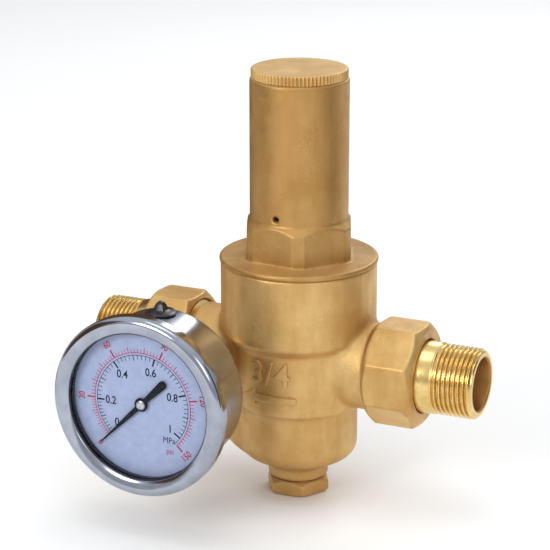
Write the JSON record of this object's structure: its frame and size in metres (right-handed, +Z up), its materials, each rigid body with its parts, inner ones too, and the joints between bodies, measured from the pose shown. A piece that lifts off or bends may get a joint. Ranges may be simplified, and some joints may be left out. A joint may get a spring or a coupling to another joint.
{
  "type": "pressure reducing valve",
  "caption": "Brass piston pressure reducing valve with union pipe ends, a screw-adjusted spring housing and an outlet pressure gauge.",
  "frame": {"origin": "centre of the inlet tailpiece's end face", "axes": "+X leaves the inlet along the pipe axis, +Z runs up the spring housing, the gauge faces -Y"},
  "size_m": [0.1555, 0.0991, 0.1648],
  "materials": {
    "cast_brass": "satin",
    "turned_brass": "satin",
    "stainless": "satin",
    "polished_steel": "polished",
    "spring_steel": "satin",
    "black_rubber": "matte",
    "fibre": "matte",
    "copper": "satin",
    "window_glass": "gloss",
    "dial_paint": "satin",
    "pointer_paint": "satin"
  },
  "bodies": {
    "housing": {"valve_body": "cast_brass", "bonnet": "cast_brass", "bonnet_gasket": "fibre", "main_spring": "spring_steel", "guide_bush": "turned_brass", "seat_ring": "stainless", "bottom_plug": "cast_brass", "plug_washer": "copper", "inlet_gasket": "fibre", "outlet_gasket": "fibre", "gauge_socket": "turned_brass", "gauge_washer": "copper", "socket_seal": "black_rubber", "gauge_case": "polished_steel", "gauge_bezel": "polished_steel", "window_gasket": "black_rubber", "gauge_window": "window_glass", "dial": "dial_paint", "dial_posts": "turned_brass", "movement_back_plate": "turned_brass", "movement_front_plate": "turned_brass", "movement_pillars": "turned_brass", "hairspring": "spring_steel", "bourdon_tube": "turned_brass"},
    "inlet_tail": {"inlet_tailpiece": "turned_brass"},
    "inlet_union": {"inlet_nut": "cast_brass"},
    "outlet_tail": {"outlet_tailpiece": "turned_brass"},
    "outlet_union": {"outlet_nut": "cast_brass"},
    "cap_ring": {"cap_seal": "black_rubber"},
    "cap": {"top_cap": "cast_brass"},
    "spring_seat": {"upper_spring_seat": "stainless"},
    "adjuster": {"adjusting_screw": "turned_brass"},
    "piston_set": {"piston": "turned_brass", "piston_seal": "black_rubber", "piston_nut": "stainless", "stem": "stainless", "balance_seal": "black_rubber", "disc_holder": "turned_brass", "disc_seal": "black_rubber", "disc_washer": "stainless", "disc_nut": "stainless"},
    "pointer_set": {"pointer": "pointer_paint", "pointer_cap": "stainless", "pinion_arbor": "turned_brass"},
    "sector": {"sector_gear": "turned_brass"},
    "tube_end": {"tube_tip": "turned_brass", "link": "stainless"},
    "vent_plug": {"filler_plug": "black_rubber"}
  },
  "joints": [
    {"name": "inlet_union_draw", "type": "slide", "parent": "housing", "child": "inlet_tail", "axis": [1, 0, 0], "range_m": [0, 0.00923]},
    {"name": "inlet_nut_turn", "type": "hinge", "parent": "inlet_tail", "child": "inlet_union", "pos_m": [-0.03, 0, 0], "axis": [1, 0, 0], "range_deg": [0, 1440]},
    {"name": "outlet_union_draw", "type": "slide", "parent": "housing", "child": "outlet_tail", "axis": [-1, 0, 0], "range_m": [0, 0.00923]},
    {"name": "outlet_nut_turn", "type": "hinge", "parent": "outlet_tail", "child": "outlet_union", "pos_m": [-0.1255, 0, 0], "axis": [-1, 0, 0], "range_deg": [0, 1440]},
    {"name": "cap_rise", "type": "slide", "parent": "housing", "child": "cap_ring", "axis": [0, 0, 1], "range_m": [0, 0.00749]},
    {"name": "cap_turn", "type": "hinge", "parent": "cap_ring", "child": "cap", "pos_m": [-0.0735, 0, 0.105], "axis": [0, 0, 1], "range_deg": [0, 1800]},
    {"name": "seat_travel", "type": "slide", "parent": "housing", "child": "spring_seat", "axis": [0, 0, -1], "range_m": [-0.00299, 0.00599], "deforming": ["main_spring"]},
    {"name": "adjust_turn", "type": "hinge", "parent": "spring_seat", "child": "adjuster", "pos_m": [-0.0735, 0, 0.092], "axis": [0, 0, -1], "range_deg": [-720, 1440]},
    {"name": "piston_lift", "type": "slide", "parent": "housing", "child": "piston_set", "axis": [0, 0, 1], "range_m": [0, 0.004], "stiffness_N_per_m": 2500, "springref_m": -0.01, "deforming": ["main_spring"]},
    {"name": "tip_draw", "type": "slide", "parent": "housing", "child": "tube_end", "axis": [1, 0, 0], "range_m": [0, 0.0029], "stiffness_N_per_m": 40, "springref_m": -0.0003, "deforming": ["bourdon_tube"]},
    {"name": "pointer_turn", "type": "hinge", "parent": "housing", "child": "pointer_set", "pos_m": [-0.1069, -0.06, -0.0025], "axis": [0, 1, 0], "range_deg": [0, 270], "deforming": ["hairspring"]},
    {"name": "sector_turn", "type": "hinge", "parent": "housing", "child": "sector", "pos_m": [-0.1069, -0.054, -0.016], "axis": [0, 1, 0], "range_deg": [-33.8, 0.05]},
    {"name": "plug_pull", "type": "slide", "parent": "housing", "child": "vent_plug", "axis": [0, 0, 1], "range_m": [0, 0.012]}
  ],
  "couplings": [
    {"joint": "inlet_nut_turn", "follows": "inlet_union_draw", "rad_per_m": 2721.2},
    {"joint": "outlet_nut_turn", "follows": "outlet_union_draw", "rad_per_m": 2721.2},
    {"joint": "cap_turn", "follows": "cap_rise", "rad_per_m": 4188.8},
    {"joint": "adjust_turn", "follows": "seat_travel", "rad_per_m": 4188.8},
    {"joint": "pointer_turn", "follows": "tip_draw", "rad_per_m": 1624.2},
    {"joint": "sector_turn", "follows": "tip_draw", "rad_per_m": -203.03}
  ]
}
